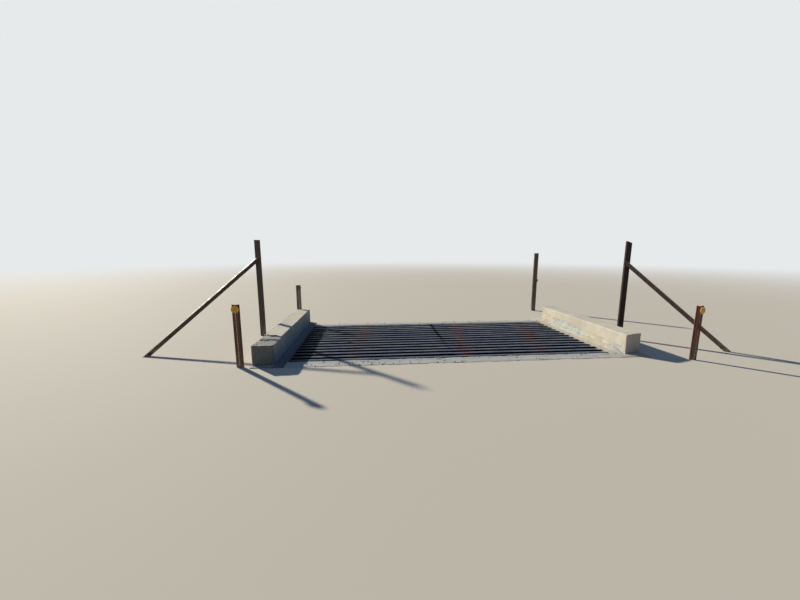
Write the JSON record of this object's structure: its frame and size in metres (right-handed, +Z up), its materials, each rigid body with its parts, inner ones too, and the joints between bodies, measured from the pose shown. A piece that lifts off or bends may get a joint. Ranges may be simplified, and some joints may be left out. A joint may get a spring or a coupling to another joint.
{
  "type": "cattle grid",
  "caption": "Cattle grid across a road: a deck of square steel bars over a concrete vault, with curbs, braced wing posts and edge markers.",
  "frame": {"origin": "middle of the whole plan, on the floor of the pit, where the walls, posts and braces stand", "axes": "+X across the road to the right as seen from the near side, +Y along the road away from the near side, +Z up"},
  "size_m": [9.934, 3.9666, 2.215],
  "materials": {
    "concrete": "weathered cream concrete, chipped and rough at the edges",
    "bar_steel": "dark weathered steel, worn and rusty where wheels run",
    "beam_steel": "rusty steel in shade",
    "post_steel": "dark brown weathered rust",
    "marker_steel": "reddish brown rust",
    "reflector": "amber prismatic plastic, slightly faded"
  },
  "bodies": {
    "root": {"front_abutment": "concrete", "back_abutment": "concrete", "left_side_wall": "concrete", "right_side_wall": "concrete", "left_curb": "concrete", "right_curb": "concrete", "left_panel_bars": "bar_steel", "right_panel_bars": "bar_steel", "left_stringer_1": "beam_steel", "left_stringer_2": "beam_steel", "left_stringer_3": "beam_steel", "left_stringer_4": "beam_steel", "right_stringer_1": "beam_steel", "right_stringer_2": "beam_steel", "right_stringer_3": "beam_steel", "right_stringer_4": "beam_steel", "left_panel_ties": "beam_steel", "right_panel_ties": "beam_steel", "left_post": "post_steel", "right_post": "post_steel", "left_brace": "post_steel", "right_brace": "post_steel", "near_left_marker_post": "marker_steel", "near_left_reflector": "reflector", "near_right_marker_post": "marker_steel", "near_right_reflector": "reflector", "far_left_marker_post": "marker_steel", "far_left_reflector": "reflector", "far_right_post": "post_steel", "far_right_clip": "post_steel"}
  },
  "joints": []
}
